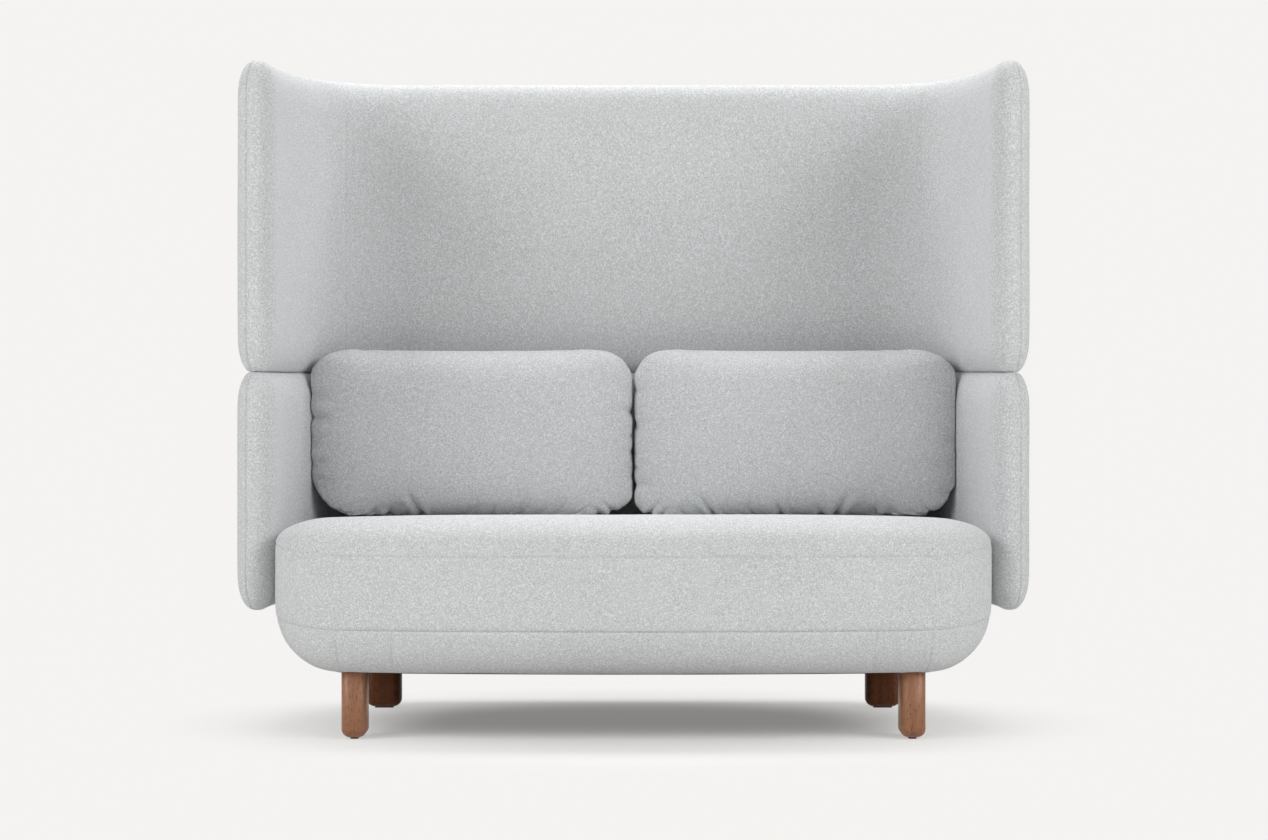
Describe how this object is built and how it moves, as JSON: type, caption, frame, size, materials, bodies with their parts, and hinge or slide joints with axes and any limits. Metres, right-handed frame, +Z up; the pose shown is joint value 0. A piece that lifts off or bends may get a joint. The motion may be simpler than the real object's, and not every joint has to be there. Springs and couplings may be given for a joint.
{
  "type": "high-back sofa",
  "caption": "High-back upholstered sofa: a curved wrap-around screen on an arm shell, one thick seat with a rounded underside, loose back cushions and wooden legs.",
  "frame": {"origin": "on the floor, under the middle of the bounding box", "axes": "+X to the right seen from the front, +Y to the back, +Z up"},
  "size_m": [1.6, 0.8, 1.35],
  "materials": {
    "cover_fabric": "matt melange",
    "foam": "matt foam",
    "filling": "fibre filling",
    "plywood": "raw",
    "frame_wood": "raw",
    "leg_wood": "satin lacquer",
    "steel": "zinc plated",
    "webbing": "woven",
    "dust_cloth": "matt",
    "felt": "felt",
    "zip_tape": "woven",
    "zip_metal": "satin"
  },
  "bodies": {
    "sofa_frame": {"arm_shell_plywood": "plywood", "arm_shell_foam": "foam", "arm_shell_inner_cover": "cover_fabric", "arm_shell_outer_cover": "cover_fabric", "screen_plywood": "plywood", "screen_foam": "foam", "screen_inner_cover": "cover_fabric", "screen_outer_cover": "cover_fabric", "joining_bar_back_left": "steel", "joining_bar_back_right": "steel", "joining_bar_wing_left": "steel", "joining_bar_wing_right": "steel", "shell_bolt_back_left": "steel", "shell_bolt_back_right": "steel", "shell_bolt_wing_left": "steel", "shell_bolt_wing_right": "steel", "seat_front_rail": "plywood", "seat_rear_rail": "plywood", "leg_bearer_left": "frame_wood", "leg_bearer_right": "frame_wood", "middle_rail": "frame_wood", "webbing_strap_1": "webbing", "webbing_strap_2": "webbing", "webbing_strap_3": "webbing", "webbing_strap_4": "webbing", "webbing_strap_5": "webbing", "webbing_strap_6": "webbing", "seat_foam": "foam", "seat_top_cover": "cover_fabric", "seat_border_cover": "cover_fabric", "seat_under_cover": "cover_fabric", "dust_cover": "dust_cloth", "leg_front_left": "leg_wood", "leg_front_right": "leg_wood", "leg_rear_left": "leg_wood", "leg_rear_right": "leg_wood", "leg_bolt_front_left": "steel", "leg_bolt_front_right": "steel", "leg_bolt_rear_left": "steel", "leg_bolt_rear_right": "steel", "glide_front_left": "felt", "glide_front_right": "felt", "glide_rear_left": "felt", "glide_rear_right": "felt"},
    "left_cushion": {"left_cushion_cover": "cover_fabric", "left_cushion_filling": "filling", "left_zip_chain": "zip_tape"},
    "left_slider": {"left_zip_slider": "zip_metal"},
    "right_cushion": {"right_cushion_cover": "cover_fabric", "right_cushion_filling": "filling", "right_zip_chain": "zip_tape"},
    "right_slider": {"right_zip_slider": "zip_metal"}
  },
  "joints": [
    {"name": "left_cushion_lift_off", "type": "slide", "parent": "sofa_frame", "child": "left_cushion", "axis": [0, -0.8, 0.6], "range_m": [0, 0.95]},
    {"name": "left_zip_slide", "type": "slide", "parent": "left_cushion", "child": "left_slider", "axis": [1, 0, 0], "range_m": [0, 0.27]},
    {"name": "right_cushion_lift_off", "type": "slide", "parent": "sofa_frame", "child": "right_cushion", "axis": [0, -0.8, 0.6], "range_m": [0, 0.95]},
    {"name": "right_zip_slide", "type": "slide", "parent": "right_cushion", "child": "right_slider", "axis": [1, 0, 0], "range_m": [0, 0.27]}
  ]
}
